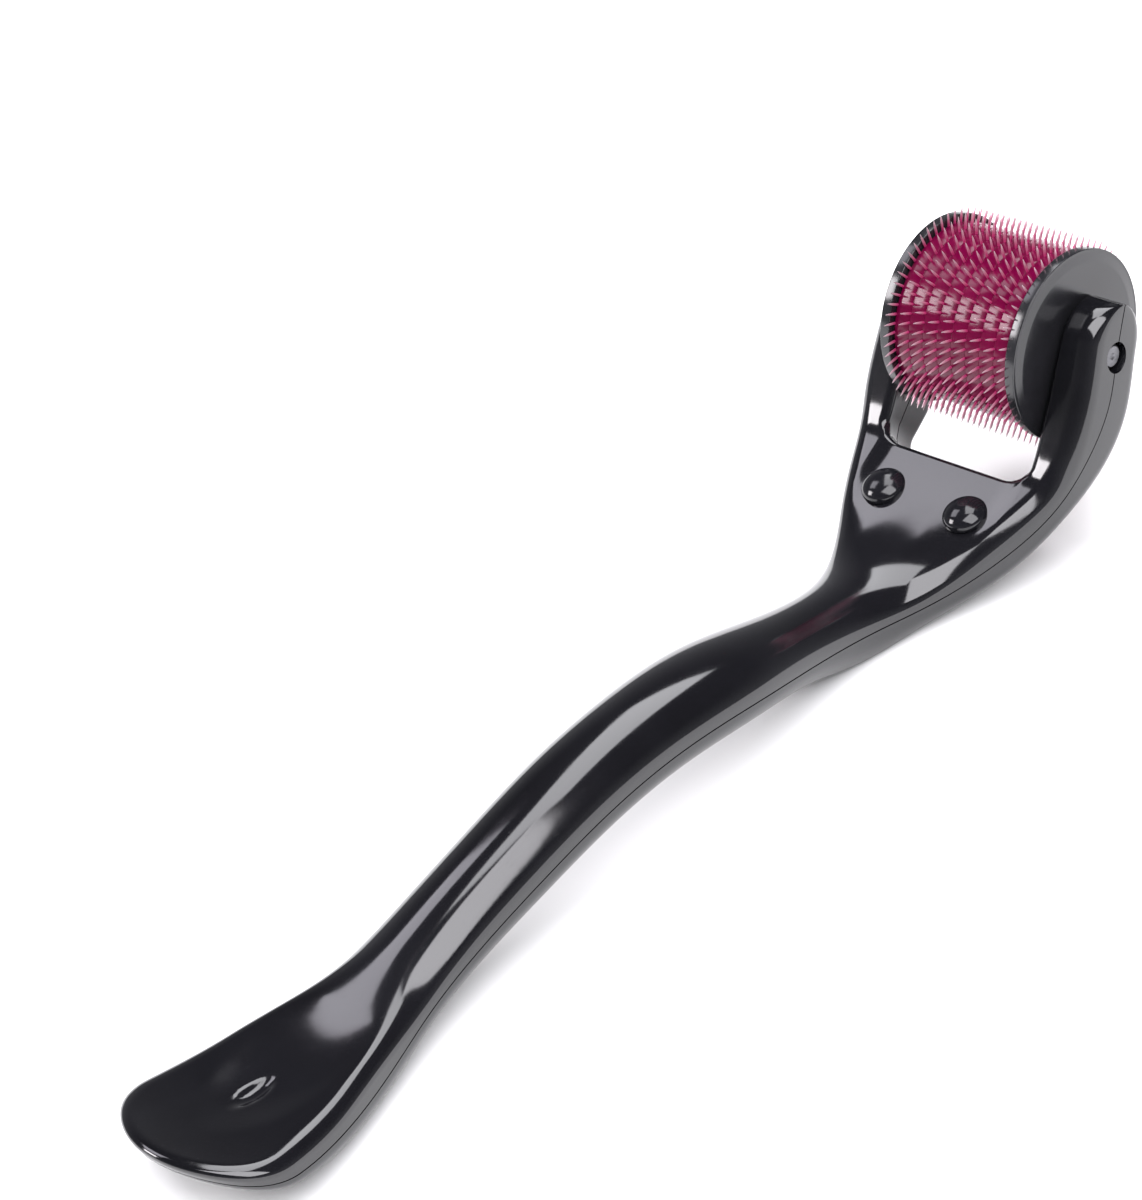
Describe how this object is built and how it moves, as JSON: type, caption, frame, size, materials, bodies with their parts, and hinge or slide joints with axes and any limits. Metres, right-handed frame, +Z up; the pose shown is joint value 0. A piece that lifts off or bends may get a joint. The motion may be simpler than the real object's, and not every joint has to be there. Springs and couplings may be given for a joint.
{
  "type": "derma roller",
  "caption": "Hand-held derma roller: an S-curved two-shell handle ends in a fork, which holds a free-turning drum of coloured rings and fine needle discs.",
  "frame": {"origin": "middle of the object's footprint, on the surface it rests on", "axes": "+X along the handle towards the roller, +Y along the roller's axle, +Z up from the surface"},
  "size_m": [0.135, 0.0286, 0.0314],
  "materials": {
    "handle_black": "glossy black moulding",
    "pin_black": "glossy black moulding",
    "cap_black": "satin black moulding with a bright rim",
    "ring_magenta": "glossy magenta moulding",
    "core_plastic": "satin magenta moulding",
    "needle_steel": "bright etched steel",
    "axle_steel": "turned steel"
  },
  "bodies": {
    "handle": {"back_shell": "handle_black", "front_shell": "handle_black", "left_press_pin": "pin_black", "right_press_pin": "pin_black", "axle": "axle_steel"},
    "roller": {"drum_core": "core_plastic", "left_end_cap": "cap_black", "right_end_cap": "cap_black", "spacer_ring_1": "ring_magenta", "spacer_ring_2": "ring_magenta", "spacer_ring_3": "ring_magenta", "spacer_ring_4": "ring_magenta", "spacer_ring_5": "ring_magenta", "spacer_ring_6": "ring_magenta", "spacer_ring_7": "ring_magenta", "spacer_ring_8": "ring_magenta", "needle_disc_1": "needle_steel", "needle_disc_2": "needle_steel", "needle_disc_3": "needle_steel", "needle_disc_4": "needle_steel", "needle_disc_5": "needle_steel", "needle_disc_6": "needle_steel", "needle_disc_7": "needle_steel", "needle_disc_8": "needle_steel", "needle_disc_9": "needle_steel"}
  },
  "joints": [
    {"name": "roller_spin", "type": "hinge", "parent": "handle", "child": "roller", "pos_m": [0.05653, 0, 0.0204], "axis": [0, 1, 0], "continuous": true}
  ]
}
